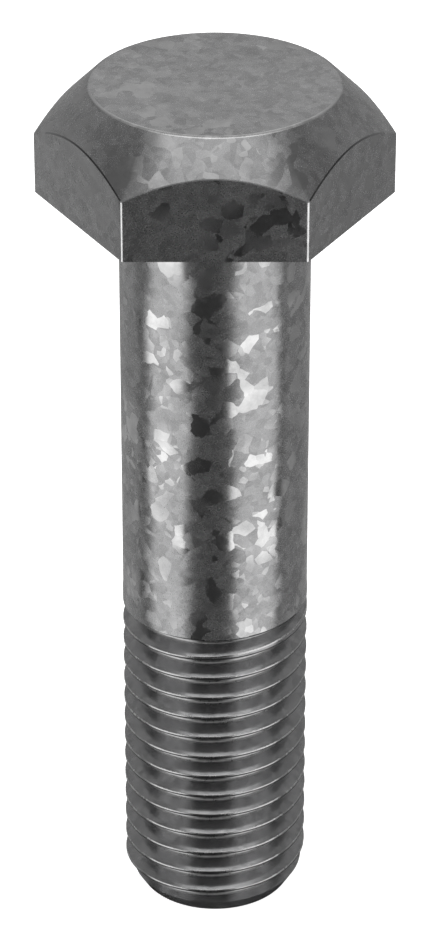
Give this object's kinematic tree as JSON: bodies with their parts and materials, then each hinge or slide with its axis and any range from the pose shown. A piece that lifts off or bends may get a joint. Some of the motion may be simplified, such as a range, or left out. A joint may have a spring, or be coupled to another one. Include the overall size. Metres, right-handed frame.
{
  "type": "hex bolt",
  "caption": "Galvanised heavy hex bolt with a plain shank, a coarse right-hand thread on the lower part and a tapered point.",
  "frame": {"origin": "centre of the bearing plane under the head, where the washer face meets the joined part", "axes": "+Z along the bolt's axis from the point towards the head; the head's flats face +Y and -Y, its corners +X and -X"},
  "size_m": [0.0532, 0.046, 0.1386],
  "materials": {
    "forged_steel": "quenched and tempered medium carbon steel, sealed under the zinc",
    "hot_dip_zinc": "hot-dip galvanised, satin grey with coarse spangle, duller on the thread"
  },
  "bodies": {
    "bolt": {"steel_core": "forged_steel", "zinc_coating": "hot_dip_zinc"}
  },
  "joints": []
}
